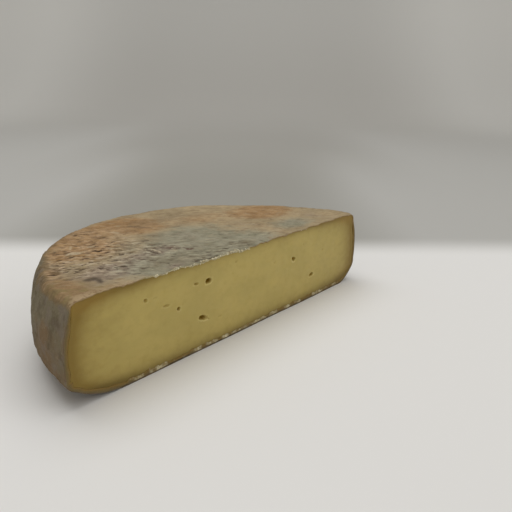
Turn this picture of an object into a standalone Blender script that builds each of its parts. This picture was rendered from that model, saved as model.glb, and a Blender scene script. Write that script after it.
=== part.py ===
"""Half of a saint-nectaire: a flat, round, semi-soft cheese with a grey and orange natural rind.

The wheel was cut once, straight across and a little to one side of its middle, and this is the smaller part.
It lies on its base with the cut upright and facing -Y, +X along the cut and +Z up.
The rind and the paste are one solid: a whole wheel less what the knife and the eyes in the paste take away.
"""

import math

import bmesh
import bpy
import numpy as np
from mathutils import Matrix, Vector, noise

MM = 0.001

# The wheel
WHEEL_RADIUS = 105 * MM      # where the side bulges most
HEIGHT = 44.5 * MM
WIDEST_HEIGHT = 23 * MM      # how high the widest place lies
UPPER_LEAN = 4.6 * MM        # how far the side leans in from there to the top corner
UPPER_LEAN_POWER = 1.45      # 1 for a straight lean, 2 for a rounder side
LOWER_LEAN = 0.7 * MM        # and to the base corner
TOP_CORNER_WIDTH = 5 * MM
TOP_CORNER_POWER = 0.28      # a small power makes a square corner, 1 a round one, 2 a plain bevel
BASE_CORNER_WIDTH = 15 * MM
BASE_CORNER_HEIGHT = 12 * MM
BASE_CORNER_POWER = 1.3
END_STRETCH = 0.75           # how much wider the base corner is where the cut begins, at -X
END_SPREAD = math.radians(24)

# The rind, which took the marks of the straw that the wheel ripened on
STRAW_ANGLE = math.radians(-32)
STRAW_LENGTH = 42 * MM       # size of a mark along the straw, and across it
STRAW_WIDTH = 9 * MM
STRAW_DEPTH = 0.55 * MM
SAG_SIZE = 46 * MM           # slow rise and fall of the whole rind
SAG_DEPTH = 0.75 * MM
LUMP_SIZE = 13 * MM
LUMP_DEPTH = 0.3 * MM
FLAT_BAND = 3 * MM           # the relief fades out over this height above the base

# The cut
CUT_OFF_AXIS = 4 * MM        # how far the cut lies from the wheel's axis
KNIFE_WAVE_SIZE = 38 * MM
KNIFE_WAVE_DEPTH = 0.3 * MM
KNIFE_BLOCK_DEPTH = 150 * MM
KNIFE_MARGIN = 12 * MM

# The eyes that the knife opened: place along the cut, height, width, tallness, depth and lean in degrees
EYES = [
    (-28.5, 33.6, 4.2, 3.1, 2.4, 0),
    (-32.3, 16.1, 5.4, 2.6, 2.2, -14),
    (-36.6, 34.1, 3.0, 1.7, 0.8, -12),
    (-47.5, 25.3, 2.1, 1.9, 1.4, 0),
    (-54.5, 28.9, 4.4, 1.3, 0.6, -3),
    (-65.6, 34.6, 2.2, 1.9, 0.8, 0),
    (38.5, 28.4, 3.6, 2.6, 1.7, -12),
    (57.0, 14.6, 4.8, 2.2, 1.6, 9),
]

# How finely each surface is cut up
TOP_CELLS = 64
SIDE_STEPS = 15
TURN_SPACING = 7 * MM        # a turn of one radian counts as this much more of the outline's length
CUT_CELLS = (56, 12)
EYE_SEGMENTS = 12
EYE_RINGS = 7
PROFILE_SAMPLES = 400

RIND_COLOUR = (0.33, 0.25, 0.17, 1.0)
RIND_ROUGHNESS = 0.85


def clear_scene():
    for thing in list(bpy.data.objects):
        bpy.data.objects.remove(thing)


def corner(width, power, turn):
    """How far a superellipse corner has come in and how high it has risen, at a turn from 0 to 90 degrees."""
    return width * (1 - math.cos(turn) ** power), math.sin(turn) ** power


def side_profile():
    """The side from the edge of the flat top down to the edge of the flat base, as (radius, height) pairs."""
    upper, lower = [], []
    for turn in np.linspace(0, math.pi / 2, PROFILE_SAMPLES):
        inward, rise = corner(TOP_CORNER_WIDTH, TOP_CORNER_POWER, turn)
        lean = UPPER_LEAN * rise ** UPPER_LEAN_POWER
        upper.append((WHEEL_RADIUS - lean - inward, WIDEST_HEIGHT + (HEIGHT - WIDEST_HEIGHT) * rise))
        inward, fall = corner(BASE_CORNER_WIDTH, BASE_CORNER_POWER, turn)
        height = BASE_CORNER_HEIGHT * (1 - fall)
        lean = LOWER_LEAN * (1 - height / WIDEST_HEIGHT) ** 2
        lower.append((WHEEL_RADIUS - lean - inward, height))
    return upper[::-1] + lower


def corner_stretch(outward, height):
    """How much wider the base corner is in this direction than in most others."""
    if height > WIDEST_HEIGHT:
        return 1.0
    angle = math.atan2(outward.y, -outward.x)
    return 1 + END_STRETCH * math.exp(-(angle / END_SPREAD) ** 2)


def spaced_points(outline, count):
    """The radii and the heights of count points along an outline, closer together where it turns."""
    radii, heights = np.array(outline).T
    inward, upward = np.diff(radii), np.diff(heights)
    directions = np.unwrap(np.arctan2(upward, inward))
    turning = np.abs(np.diff(directions, prepend=directions[0]))
    travelled = np.concatenate([[0], np.cumsum(np.hypot(inward, upward) + TURN_SPACING * turning)])
    wanted = np.linspace(0, travelled[-1], count)
    return np.interp(wanted, travelled, radii), np.interp(wanted, travelled, heights)


def disc_from_square(u, v):
    """Moves a point of the square from -1 to 1 onto the round disc of radius 1, with its cells kept even."""
    return u * math.sqrt(1 - v * v / 2), v * math.sqrt(1 - u * u / 2)


def rind_relief(point):
    """How far the rind stands out of the plain wheel here."""
    along = point.x * math.cos(STRAW_ANGLE) + point.y * math.sin(STRAW_ANGLE)
    across = point.y * math.cos(STRAW_ANGLE) - point.x * math.sin(STRAW_ANGLE)
    straw = noise.noise(Vector((along / STRAW_LENGTH, across / STRAW_WIDTH, point.z / STRAW_WIDTH)))
    sag = noise.noise(point / SAG_SIZE + Vector((3.1, 7.7, 0.4)))
    lumps = noise.noise(point / LUMP_SIZE + Vector((11.3, 2.9, 5.2)))
    fade = min(1.0, max(0.0, point.z / FLAT_BAND))
    return fade * (STRAW_DEPTH * straw + SAG_DEPTH * sag + LUMP_DEPTH * lumps)


def wheel_mesh():
    """The whole wheel: a round grid for the top, its rim drawn down ring by ring, and a flat base."""
    radii, heights = spaced_points(side_profile(), SIDE_STEPS + 1)
    bm = bmesh.new()
    bmesh.ops.create_grid(bm, x_segments=TOP_CELLS, y_segments=TOP_CELLS, size=1)
    for vert in bm.verts:
        x, y = disc_from_square(vert.co.x, vert.co.y)
        vert.co = Vector((x * radii[0], y * radii[0], heights[0]))
    ring = [edge for edge in bm.edges if edge.is_boundary]
    for radius, height in zip(radii[1:], heights[1:]):
        made = bmesh.ops.extrude_edge_only(bm, edges=ring)["geom"]
        ring = [part for part in made if isinstance(part, bmesh.types.BMEdge)]
        for vert in [part for part in made if isinstance(part, bmesh.types.BMVert)]:
            outward = Vector((vert.co.x, vert.co.y, 0)).normalized()
            inset = (WHEEL_RADIUS - radius) * corner_stretch(outward, height)
            vert.co = outward * (WHEEL_RADIUS - inset) + Vector((0, 0, height))
    bmesh.ops.edgeloop_fill(bm, edges=ring)
    bmesh.ops.recalc_face_normals(bm, faces=bm.faces)
    bm.normal_update()
    shifts = [vert.normal * rind_relief(vert.co) for vert in bm.verts]
    for vert, shift in zip(bm.verts, shifts):
        vert.co += shift
    mesh = bpy.data.meshes.new("half_cheese")
    bm.to_mesh(mesh)
    bm.free()
    mesh.shade_smooth()
    mesh.set_sharp_from_angle(angle=math.radians(40))
    return mesh


def knife_wave(x, z):
    """How far the cut strays from its plane."""
    return KNIFE_WAVE_DEPTH * noise.noise(Vector((x / KNIFE_WAVE_SIZE, 0.5, z / KNIFE_WAVE_SIZE)))


def knife_mesh():
    """A block with one slightly wavy face, which takes away the half of the wheel that was eaten."""
    bm = bmesh.new()
    columns, rows = CUT_CELLS
    bmesh.ops.create_grid(bm, x_segments=columns, y_segments=rows, size=1)
    half_width = WHEEL_RADIUS + KNIFE_MARGIN
    half_height = HEIGHT / 2 + KNIFE_MARGIN
    for vert in bm.verts:
        x, z = vert.co.x * half_width, HEIGHT / 2 + vert.co.y * half_height
        vert.co = Vector((x, knife_wave(x, z) + CUT_OFF_AXIS, z))
    made = bmesh.ops.extrude_face_region(bm, geom=bm.faces[:])["geom"]
    back = [part for part in made if isinstance(part, bmesh.types.BMVert)]
    for vert in back:
        vert.co.y = -KNIFE_BLOCK_DEPTH
    bmesh.ops.recalc_face_normals(bm, faces=bm.faces)
    mesh = bpy.data.meshes.new("knife")
    bm.to_mesh(mesh)
    bm.free()
    return mesh


def eyes_mesh():
    """The hollows of the eyes, as flattened balls centred on the cut."""
    bm = bmesh.new()
    for along, height, width, tall, depth, lean in EYES:
        x, z = along * MM, height * MM
        place = Matrix.Translation((x, knife_wave(x, z) + CUT_OFF_AXIS, z))
        turn = Matrix.Rotation(math.radians(-lean), 4, "Y")
        size = Matrix.Diagonal((width * MM / 2, depth * MM, tall * MM / 2, 1))
        bmesh.ops.create_uvsphere(
            bm,
            u_segments=EYE_SEGMENTS,
            v_segments=EYE_RINGS,
            radius=1,
            matrix=place @ turn @ size,
        )
    mesh = bpy.data.meshes.new("eyes")
    bm.to_mesh(mesh)
    bm.free()
    return mesh


def rind_material():
    material = bpy.data.materials.new("rind")
    material.use_nodes = True
    shader = material.node_tree.nodes["Principled BSDF"]
    shader.inputs["Base Color"].default_value = RIND_COLOUR
    shader.inputs["Roughness"].default_value = RIND_ROUGHNESS
    shader.inputs["Metallic"].default_value = 0.0
    return material


def add_object(name, mesh, parent):
    thing = bpy.data.objects.new(name, mesh)
    bpy.context.scene.collection.objects.link(thing)
    thing.parent = parent
    return thing


def hide_cutter(cutter):
    cutter.hide_render = True
    cutter.display_type = "WIRE"


def take_away(solid, cutter):
    cut = solid.modifiers.new(cutter.name, "BOOLEAN")
    cut.operation = "DIFFERENCE"
    cut.solver = "EXACT"
    cut.object = cutter
    hide_cutter(cutter)


def footprint_centre(solid):
    """The middle of the finished solid as seen from above."""
    bpy.context.view_layer.update()
    finished = solid.evaluated_get(bpy.context.evaluated_depsgraph_get()).to_mesh()
    places = np.array([vert.co for vert in finished.vertices])
    return (places.min(axis=0) + places.max(axis=0)) / 2


def build():
    clear_scene()
    wheel_axis = add_object("wheel_axis", None, None)
    cheese = add_object("half_cheese", wheel_mesh(), wheel_axis)
    cheese.data.materials.append(rind_material())
    take_away(cheese, add_object("knife", knife_mesh(), wheel_axis))
    take_away(cheese, add_object("eyes", eyes_mesh(), wheel_axis))
    middle = footprint_centre(cheese)
    wheel_axis.location = (-middle[0], -middle[1], 0)


build()
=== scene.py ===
"""How a half wheel of saint-nectaire looks.

Three pieces stand for the one solid. The rind is a closed shell with the marks of the straw that the wheel
ripened on. The paste fills it and shows its cut face and eyes. The crumbs are what the knife pulled up
along the upper edge of the cut.

Lengths are in millimetres from the wheel's axis: +X along the cut, +Y away from it, +Z up from the base.
place() turns them into the frame's metres.
"""

import math
import random

import bmesh
import bpy
import numpy as np
from mathutils import Matrix, Vector, noise


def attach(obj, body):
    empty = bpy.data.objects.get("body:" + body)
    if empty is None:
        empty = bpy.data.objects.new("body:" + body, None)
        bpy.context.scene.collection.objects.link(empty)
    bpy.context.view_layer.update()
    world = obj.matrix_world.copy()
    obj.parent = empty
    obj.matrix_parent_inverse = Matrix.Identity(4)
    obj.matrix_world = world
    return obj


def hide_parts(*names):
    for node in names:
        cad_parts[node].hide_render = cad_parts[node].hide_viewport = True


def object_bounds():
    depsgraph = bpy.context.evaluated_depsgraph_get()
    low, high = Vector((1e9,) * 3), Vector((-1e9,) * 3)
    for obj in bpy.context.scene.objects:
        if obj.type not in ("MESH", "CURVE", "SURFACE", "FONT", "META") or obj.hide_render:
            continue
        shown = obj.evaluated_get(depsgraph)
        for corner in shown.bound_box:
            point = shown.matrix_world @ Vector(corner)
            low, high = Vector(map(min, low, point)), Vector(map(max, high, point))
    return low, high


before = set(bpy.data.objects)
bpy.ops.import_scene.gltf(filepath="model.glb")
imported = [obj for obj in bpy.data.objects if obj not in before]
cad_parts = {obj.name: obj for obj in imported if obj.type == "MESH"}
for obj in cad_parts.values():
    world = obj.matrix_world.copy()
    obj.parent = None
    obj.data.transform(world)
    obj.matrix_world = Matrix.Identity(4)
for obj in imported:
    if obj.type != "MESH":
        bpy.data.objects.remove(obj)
cad_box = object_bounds()

MM = 0.001
AXIS = Vector((-0.1855, -54.3609, 0.0))      # where the wheel's axis stands in the frame

# The wheel's outline, as the solid has it
WHEEL_RADIUS = 105.0
HEIGHT = 44.5
WIDEST_HEIGHT = 23.0
UPPER_LEAN = 4.6
UPPER_LEAN_POWER = 1.45
LOWER_LEAN = 0.7
TOP_CORNER_WIDTH = 5.0
TOP_CORNER_POWER = 0.28
BASE_CORNER_WIDTH = 15.0
BASE_CORNER_HEIGHT = 12.0
BASE_CORNER_POWER = 1.3
END_STRETCH = 0.75
END_SPREAD = math.radians(24)
CUT = 4.0                                # how far the cut lies from the axis
PROFILE_SAMPLES = 400
TURN_SPACING = 7.0

# The slow relief of the solid
STRAW_ANGLE = math.radians(-32)
STRAW_LENGTH = 42.0
STRAW_WIDTH = 9.0
STRAW_DEPTH = 0.55
SAG_SIZE = 46.0
SAG_DEPTH = 0.75
LUMP_SIZE = 13.0
LUMP_DEPTH = 0.3
FLAT_BAND = 3.0
KNIFE_WAVE_SIZE = 38.0
KNIFE_WAVE_DEPTH = 0.3

# The fine relief that only the looks have
CRINKLE_ANGLE = math.radians(-34)
CRINKLE_LENGTH = 4.2
CRINKLE_WIDTH = 1.7
CRINKLE_DEPTH = 0.48
PIT_START = 0.3
PIT_DEPTH = 0.8
GRAIN_SIZE = 1.5
GRAIN_DEPTH = 0.12
FLANK_DEPTH = 0.32
SLIT_DEPTH = 0.8
HIGHEST = 45.14                          # nothing stands higher than the solid does
LIP_REACH = 1.3                          # how far from the cut the torn upper lip reaches
LIP_TEAR = 0.25

# The shell and the paste in it
SHELL_DEPTH = 1.6
PASTE_DEPTH = 1.9
TOP_RIM = 0.7                            # width of the rind's torn rim along the top, the sides and the base
SIDE_RIM = 2.1
BASE_RIM = 2.2
RIM_COVER = 0.35                         # how far the paste's face reaches behind the rim
RIM_BACK = 0.42                          # the paste's face lies this far behind the knife's plane
FLUSH_BACK = 0.29                        # and this far where it meets the rim at the sides and the base
RIM_STEPS = [(0.16, 0.0), (0.38, 0.04), (0.62, 0.08), (0.84, 0.16), (1.0, 0.3)]
UNDERCUT_STEPS = [(0.0, 0.34), (1.2, 1.8)]   # how deep under the rind at least, and how far back
SHELL_START = 2.2                        # the shell's plain inside begins this far behind the knife's plane

TOP_COLUMNS = 320
TOP_ROWS = 160
SIDE_RINGS = 26
INNER_COLUMNS = 80
INNER_ROWS = 40
INNER_RINGS = 12
FACE_COLUMNS = 330
FACE_ROWS = 70

# The eyes that the knife opened: place along the cut, height, width, tallness, depth and lean in degrees
EYES = [
    (-28.5, 33.6, 4.2, 3.1, 2.4, 0),
    (-32.3, 16.1, 5.4, 2.6, 2.2, -14),
    (-36.6, 34.1, 3.0, 1.7, 0.8, -12),
    (-47.5, 25.3, 2.1, 1.9, 1.4, 0),
    (-54.5, 28.9, 4.4, 1.3, 0.6, -3),
    (-65.6, 34.6, 2.2, 1.9, 0.8, 0),
    (38.5, 28.4, 3.6, 2.6, 1.7, -12),
    (57.0, 14.6, 4.8, 2.2, 1.6, 9),
]

# Shallow marks on the cut that the solid leaves out
FAINT_MARKS = [
    (-29.4, 14.7, 3.2, 0.9, 0.7, -28),
    (-60.4, 34.4, 2.8, 1.2, 0.3, -14),
    (-9.2, 38.1, 2.0, 1.5, 0.35, 0),
    (-20.8, 13.2, 3.4, 1.2, 0.4, -8),
    (-45.0, 26.8, 1.6, 0.9, 0.3, 15),
    (-12.0, 33.0, 2.4, 1.2, 0.2, -20),
    (21.0, 30.5, 2.2, 1.4, 0.35, -15),
    (68.0, 27.5, 2.4, 1.6, 0.4, 10),
    (47.5, 35.0, 1.8, 1.2, 0.3, 0),
]

# How high the paste reaches under the torn upper lip, as (place along the cut, height)
LIP = [
    (-100, 43.0), (-98, 43.4), (-94, 43.8), (-90, 43.9), (-86, 44.3), (-80, 44.4), (-76, 43.8), (-70, 44.1),
    (-66, 44.5), (-62, 44.1), (-58, 43.6), (-56, 43.4), (-52, 44.1), (-48, 44.1), (-44, 43.9), (-40, 43.3),
    (-36, 43.2), (-32, 43.5), (-28, 43.3), (-25, 43.1), (-20, 43.5), (-10, 43.5), (-8, 43.1), (-6, 42.1),
    (-4, 42.5), (-1, 43.0), (4, 42.8), (8, 43.5), (16, 43.2), (22, 43.9), (30, 43.3), (38, 43.8), (47, 43.1),
    (52, 43.9), (60, 43.5), (68, 44.0), (75, 43.5), (84, 43.9), (92, 43.6), (100, 43.0),
]

# Patches on the top: place, radius along the cut, radius across it, strength
GREY_PATCHES = [
    (-16, 24, 36, 24, 1.0),
    (-50, 14, 22, 12, 0.9),
    (-4, 46, 20, 12, 0.4),
    (8, 10, 20, 10, 0.6),
    (56, 17, 14, 9, 0.9),
]
ORANGE_PATCHES = [
    (-62, 58, 22, 18, 0.95),
    (-45, 82, 22, 12, 0.8),
    (-14, 80, 18, 13, 1.0),
    (-14, 62, 16, 8, 0.45),
    (-94, 18, 9, 12, 0.7),
    (-92, 40, 9, 14, 0.5),
    (64, 50, 22, 16, 1.0),
    (22, 62, 16, 14, 0.4),
    (34, 24, 10, 8, 0.3),
]
PURPLE_PATCHES = [
    (-72, 22, 13, 10, 1.0),
    (-50, 30, 12, 8, 0.6),
    (-33, 31, 12, 6, 0.6),
    (-45, 8, 5, 3, 0.8),
    (-8, 40, 10, 8, 0.35),
    (78, 22, 8, 8, 0.4),
]
DARK_PATCHES = [
    (-46, 16, 12, 9, 0.7),
    (-34, 11, 9, 6, 0.7),
    (2, 9, 9, 4, 0.9),
    (-84, 36, 7, 14, 0.9),
    (-97, 30, 6, 16, 0.7),
    (-88, 12, 12, 9, 0.6),
    (-9, 74, 13, 8, 0.8),
    (9, 79, 14, 8, 0.7),
    (-34, 72, 12, 8, 0.4),
    (-26, 47, 13, 7, 0.8),
    (-47, 84, 10, 6, 0.6),
    (-39, 34, 11, 5, 0.5),
    (-22, 22, 7, 5, 0.7),
    (32, 40, 13, 14, 0.5),
    (26, 70, 20, 8, 0.4),
    (6, 58, 12, 6, 0.4),
    (76, 10, 10, 5, 0.5),
    (50, 10, 8, 4, 0.5),
]
ROUGH_PATCHES = [
    (-66, 42, 25, 21, 1.0),
    (-45, 64, 24, 20, 0.55),
    (-44, 82, 16, 8, 0.3),
    (-31, 30, 15, 11, 0.6),
    (-62, 24, 22, 10, 0.4),
    (-90, 40, 9, 14, 0.6),
    (-12, 10, 34, 7, 0.5),
    (40, 30, 40, 24, 0.2),
]
CALM_PATCHES = [
    (-98, 14, 14, 15, 1.0),
    (-84, 5, 12, 5, 0.8),
]

# Single marks on the top, as strokes: both ends, half width, strength
# Dark slits, sunk into the relief: dark rind with painted shade in them.
SLITS = [
    (-42.4, 58.1, -39.2, 58.4, 1.0, 0.8),
    (-54.9, 66.0, -49.7, 62.0, 1.5, 0.5),
    (-44.2, 70.7, -40.8, 67.0, 2.7, 0.5),
    (-42.2, 50.4, -39.1, 48.0, 1.3, 0.9),
    (-48.8, 50.1, -45.1, 47.2, 0.9, 0.7),
    (-46.5, 43.1, -44.1, 41.6, 0.6, 0.6),
    (-54.6, 47.6, -48.0, 42.6, 0.6, 0.5),
    (-68.8, 58.7, -66.4, 57.5, 0.6, 0.6),
    (-63.6, 52.1, -60.6, 50.0, 0.6, 0.7),
    (-69.8, 57.1, -69.6, 55.0, 0.8, 0.5),
    (-70.3, 51.4, -66.7, 49.7, 0.7, 1.0),
    (-65.5, 57.2, -59.2, 53.8, 0.8, 0.5),
    (-52.4, 38.3, -50.6, 38.5, 0.8, 0.9),
    (-49.6, 37.5, -47.6, 36.5, 0.6, 0.5),
    (-75.5, 55.3, -72.2, 54.9, 0.8, 0.6),
    (-77.0, 51.2, -75.6, 51.0, 1.0, 0.7),
    (-68.4, 38.6, -67.8, 38.1, 0.9, 1.0),
    (-66.1, 38.2, -64.7, 37.2, 0.8, 0.9),
    (-63.3, 35.5, -60.4, 33.6, 0.7, 0.6),
    (-59.7, 33.7, -57.8, 32.0, 1.0, 1.0),
    (-60.9, 38.9, -56.7, 36.3, 0.7, 0.5),
    (-71.1, 38.4, -69.4, 37.2, 0.6, 0.5),
    (-77.3, 32.8, -76.1, 32.3, 1.0, 0.9),
    (-75.7, 32.9, -73.3, 32.1, 0.8, 0.7),
    (-71.7, 26.5, -69.8, 25.5, 0.7, 0.8),
    (-69.7, 25.7, -67.2, 24.2, 0.6, 0.6),
    (-65.4, 23.9, -63.6, 23.4, 0.9, 0.8),
    (-63.6, 23.4, -61.3, 23.0, 1.2, 1.0),
    (-83.3, 35.4, -82.2, 34.8, 0.8, 0.8),
    (-80.7, 31.3, -78.2, 31.4, 0.6, 0.7),
    (-84.8, 42.1, -81.6, 39.6, 1.1, 0.5),
    (-88.6, 37.2, -85.5, 34.9, 0.6, 0.6),
    (-85.2, 30.9, -82.0, 29.3, 0.5, 0.5),
    (-79.8, 26.9, -78.4, 26.7, 0.5, 0.5),
    (-75.5, 16.0, -74.8, 14.5, 1.2, 0.6),
    (-68.8, 21.4, -67.3, 20.6, 0.6, 0.5),
    (-54.2, 32.3, -51.1, 31.2, 0.9, 0.5),
    (-65.3, 12.4, -62.1, 11.8, 0.8, 0.8),
    (-67.3, 9.2, -66.4, 8.4, 0.8, 0.6),
    (-30.7, 48.4, -28.4, 47.3, 0.8, 0.8),
    (-23.8, 61.0, -21.0, 61.2, 1.5, 0.5),
    (-17.0, 76.5, -11.5, 66.0, 3.2, 0.5),
    (-12.6, 37.8, -8.6, 33.8, 0.9, 0.4),
    (-49.0, 22.5, -46.6, 21.9, 1.1, 0.6),
    (-52.1, 20.1, -49.3, 17.3, 0.8, 0.3),
    (-42.5, 32.5, -40.6, 29.7, 0.8, 0.6),
    (-19.3, 23.4, -18.6, 22.0, 0.8, 0.5),
    (-23.0, 15.5, -21.6, 14.3, 0.8, 0.5),
    (-35.5, 7.3, -33.7, 6.0, 0.8, 0.8),
    (-33.4, 5.6, -31.7, 3.5, 0.7, 0.7),
    (-29.1, 7.3, -28.2, 7.0, 0.6, 0.6),
    (-26.9, 5.3, -24.5, 4.1, 0.8, 1.0),
    (-33.5, 7.4, -31.0, 7.2, 0.7, 0.9),
    (-30.5, 7.0, -28.5, 5.9, 0.7, 1.0),
    (-27.8, 5.9, -25.2, 5.2, 0.7, 1.0),
    (-24.8, 5.4, -21.6, 5.0, 0.8, 1.0),
    (-12.4, 9.7, -11.2, 9.0, 0.9, 1.0),
    (-43.2, 5.7, -40.1, 4.5, 0.6, 0.5),
    (-44.6, 14.7, -46.7, 10.2, 0.8, 0.5),
    (-38.9, 35.4, -38.0, 34.3, 0.7, 0.9),
    (-39.0, 32.3, -38.2, 29.7, 0.7, 0.9),
    (-38.2, 29.7, -37.8, 27.7, 0.7, 0.8),
]
# Cracks, sunk into the relief: their dark red is partly their own colour, partly painted shade.
CRACKS = [
    (-32.1, 32.4, -29.5, 29.6, 0.7, 0.9),
    (-28.9, 31.7, -25.6, 26.7, 0.7, 0.8),
    (-24.1, 25.5, -23.1, 23.7, 0.7, 0.8),
    (-24.1, 22.7, -22.2, 21.8, 1.1, 1.0),
    (-34.5, 30.4, -37.8, 25.1, 0.8, 0.35),
]
BLOTS = [
    (-81.5, 20.3, -79.2, 19.6, 2.3, 1.0),
    (-78.9, 18.0, -79.9, 14.4, 1.7, 0.85),
    (-76.5, 24.0, -74.0, 22.5, 2.2, 0.3),
]
# Pale ridges, raised in the relief: partly pale rind, partly painted highlight.
PALE_RIDGES = [
    (-69.1, 54.8, -64.7, 52.7, 1.7, 1.0),
    (-62.5, 52.9, -60.6, 52.5, 0.7, 0.8),
    (-51.0, 47.1, -47.3, 45.2, 0.7, 1.0),
    (-56.3, 58.1, -53.7, 57.8, 1.2, 0.8),
    (-49.1, 54.5, -45.6, 53.7, 1.2, 0.7),
    (-64.4, 47.7, -60.4, 45.7, 0.8, 0.7),
    (-70.9, 48.8, -66.7, 47.4, 0.6, 0.8),
    (-73.6, 35.3, -70.0, 34.7, 0.8, 0.8),
    (-64.7, 33.5, -59.4, 29.7, 0.7, 0.7),
    (-65.0, 60.2, -61.4, 64.5, 0.9, 0.6),
    (-46.0, 53.2, -42.6, 50.5, 1.4, 0.5),
    (-78.8, 48.1, -76.8, 47.3, 0.8, 0.6),
    (-86.1, 36.8, -83.7, 36.1, 0.7, 0.6),
    (-32.5, 71.6, -31.4, 68.8, 2.0, 0.6),
    (-71.1, 20.3, -65.8, 17.1, 0.9, 0.5),
    (-71.6, 13.5, -69.6, 8.9, 2.8, 0.3),
    (-37.4, 34.3, -36.6, 28.7, 0.6, 1.0),
    (-32.2, 27.9, -29.9, 23.4, 0.7, 0.8),
    (-21.1, 28.7, -19.9, 25.0, 1.0, 0.5),
    (-6.7, 27.7, -3.4, 25.1, 1.0, 0.6),
    (-58.0, 26.6, -54.0, 21.9, 0.6, 0.5),
    (-55.5, 20.0, -54.4, 17.3, 0.8, 0.5),
    (-87.3, 32.0, -84.9, 31.3, 0.6, 0.4),
    (-83.2, 26.8, -81.8, 26.1, 0.8, 0.5),
]

CAMERA_PLACE = Vector((-201.1, -166.2, 122.6))
CAMERA_AIM = Vector((0.7354, 0.6066, -0.3020))
CAMERA_ROLL = 0.0204
CAMERA_FOCUS = 553.3                     # in pixels of the square frame
FRAME_PIXELS = 512
SENSOR_WIDTH = 36.0
AWAY = Vector((CAMERA_AIM.x, CAMERA_AIM.y, 0)).normalized()
BOARD_END = 0.412                        # how far in front of the camera the pale board ends, in metres
BOARD_SLANT = 0.052                      # how much nearer it ends towards the left
SWEEP_START = 1.3                        # where the ground begins to bend up, and how gently, in metres
SWEEP_RADIUS = 0.8


def place(point):
    """A point in the wheel's millimetres, in the frame's metres."""
    return (AXIS + point) * MM


def smooth_step(low, high, value):
    share = min(1.0, max(0.0, (value - low) / (high - low)))
    return share * share * (3 - 2 * share)


def corner(width, power, turn):
    """How far a superellipse corner has come in and how high it has risen, at a turn from 0 to 90 degrees."""
    return width * (1 - math.cos(turn) ** power), math.sin(turn) ** power


def side_profile():
    """The side from the edge of the flat top down to the edge of the flat base, as (radius, height) pairs."""
    upper, lower = [], []
    for turn in np.linspace(0, math.pi / 2, PROFILE_SAMPLES):
        inward, rise = corner(TOP_CORNER_WIDTH, TOP_CORNER_POWER, turn)
        lean = UPPER_LEAN * rise ** UPPER_LEAN_POWER
        upper.append((WHEEL_RADIUS - lean - inward, WIDEST_HEIGHT + (HEIGHT - WIDEST_HEIGHT) * rise))
        inward, fall = corner(BASE_CORNER_WIDTH, BASE_CORNER_POWER, turn)
        height = BASE_CORNER_HEIGHT * (1 - fall)
        lean = LOWER_LEAN * (1 - height / WIDEST_HEIGHT) ** 2
        lower.append((WHEEL_RADIUS - lean - inward, height))
    return upper[::-1] + lower


def spaced_points(outline, count):
    """The radii and the heights of count points along an outline, closer together where it turns."""
    radii, heights = np.array(outline).T
    inward, upward = np.diff(radii), np.diff(heights)
    directions = np.unwrap(np.arctan2(upward, inward))
    turning = np.abs(np.diff(directions, prepend=directions[0]))
    travelled = np.concatenate([[0], np.cumsum(np.hypot(inward, upward) + TURN_SPACING * turning)])
    wanted = np.linspace(0, travelled[-1], count)
    return np.interp(wanted, travelled, radii), np.interp(wanted, travelled, heights)


PROFILE = side_profile()
PROFILE_HEIGHTS = np.array([height for radius, height in PROFILE[::-1]])
PROFILE_RADII = np.array([radius for radius, height in PROFILE[::-1]])
LIP_PLACES, LIP_HEIGHTS = np.array(LIP).T


def ring_radius(radius, height, angle):
    """The radius of a ring in one direction: the base corner is wider where the cut begins, at -X."""
    if height > WIDEST_HEIGHT:
        return radius
    stretch = 1 + END_STRETCH * math.exp(-((math.pi - angle) / END_SPREAD) ** 2)
    return WHEEL_RADIUS - (WHEEL_RADIUS - radius) * stretch


def ring_point(turn, radius, height, cut):
    """A point of a ring, for a turn from 0 at the cut's +X end round to 1 at its -X end."""
    first = math.asin(cut / radius)
    last = math.pi - math.asin(cut / ring_radius(radius, height, math.pi))
    angle = first + turn * (last - first)
    reach = ring_radius(radius, height, angle)
    return Vector((reach * math.cos(angle), reach * math.sin(angle), height))


def slow_relief(point):
    """The relief that the solid has: how far the rind stands out of the plain wheel."""
    along = point.x * math.cos(STRAW_ANGLE) + point.y * math.sin(STRAW_ANGLE)
    across = point.y * math.cos(STRAW_ANGLE) - point.x * math.sin(STRAW_ANGLE)
    straw = noise.noise(Vector((along / STRAW_LENGTH, across / STRAW_WIDTH, point.z / STRAW_WIDTH)))
    sag = noise.noise(point / SAG_SIZE + Vector((3.1, 7.7, 0.4)))
    lumps = noise.noise(point / LUMP_SIZE + Vector((11.3, 2.9, 5.2)))
    fade = min(1.0, max(0.0, point.z / FLAT_BAND))
    return fade * (STRAW_DEPTH * straw + SAG_DEPTH * sag + LUMP_DEPTH * lumps)


def knife_wave(x, z):
    """How far the cut strays from its plane."""
    size = KNIFE_WAVE_SIZE
    return KNIFE_WAVE_DEPTH * noise.noise(Vector((x / size, 0.5, z / size)))


def patch_sum(patches, x, y):
    """How strongly a list of soft round patches covers a place."""
    total = 0.0
    for centre_x, centre_y, radius_x, radius_y, strength in patches:
        away = ((x - centre_x) / radius_x) ** 2 + ((y - centre_y) / radius_y) ** 2
        total += strength * math.exp(-away)
    return min(1.0, total)


def stroke_share(strokes, x, y):
    """How strongly a list of short strokes marks a place."""
    share = 0.0
    for start_x, start_y, end_x, end_y, half_width, strength in strokes:
        length_x, length_y = end_x - start_x, end_y - start_y
        way_x, way_y = x - start_x, y - start_y
        if abs(way_x) > 14 or abs(way_y) > 14:
            continue
        along = (way_x * length_x + way_y * length_y) / (length_x ** 2 + length_y ** 2)
        along = min(1.0, max(0.0, along))
        away = math.hypot(way_x - along * length_x, way_y - along * length_y) / half_width
        share = max(share, strength * math.exp(-away * away))
    return share


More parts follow.
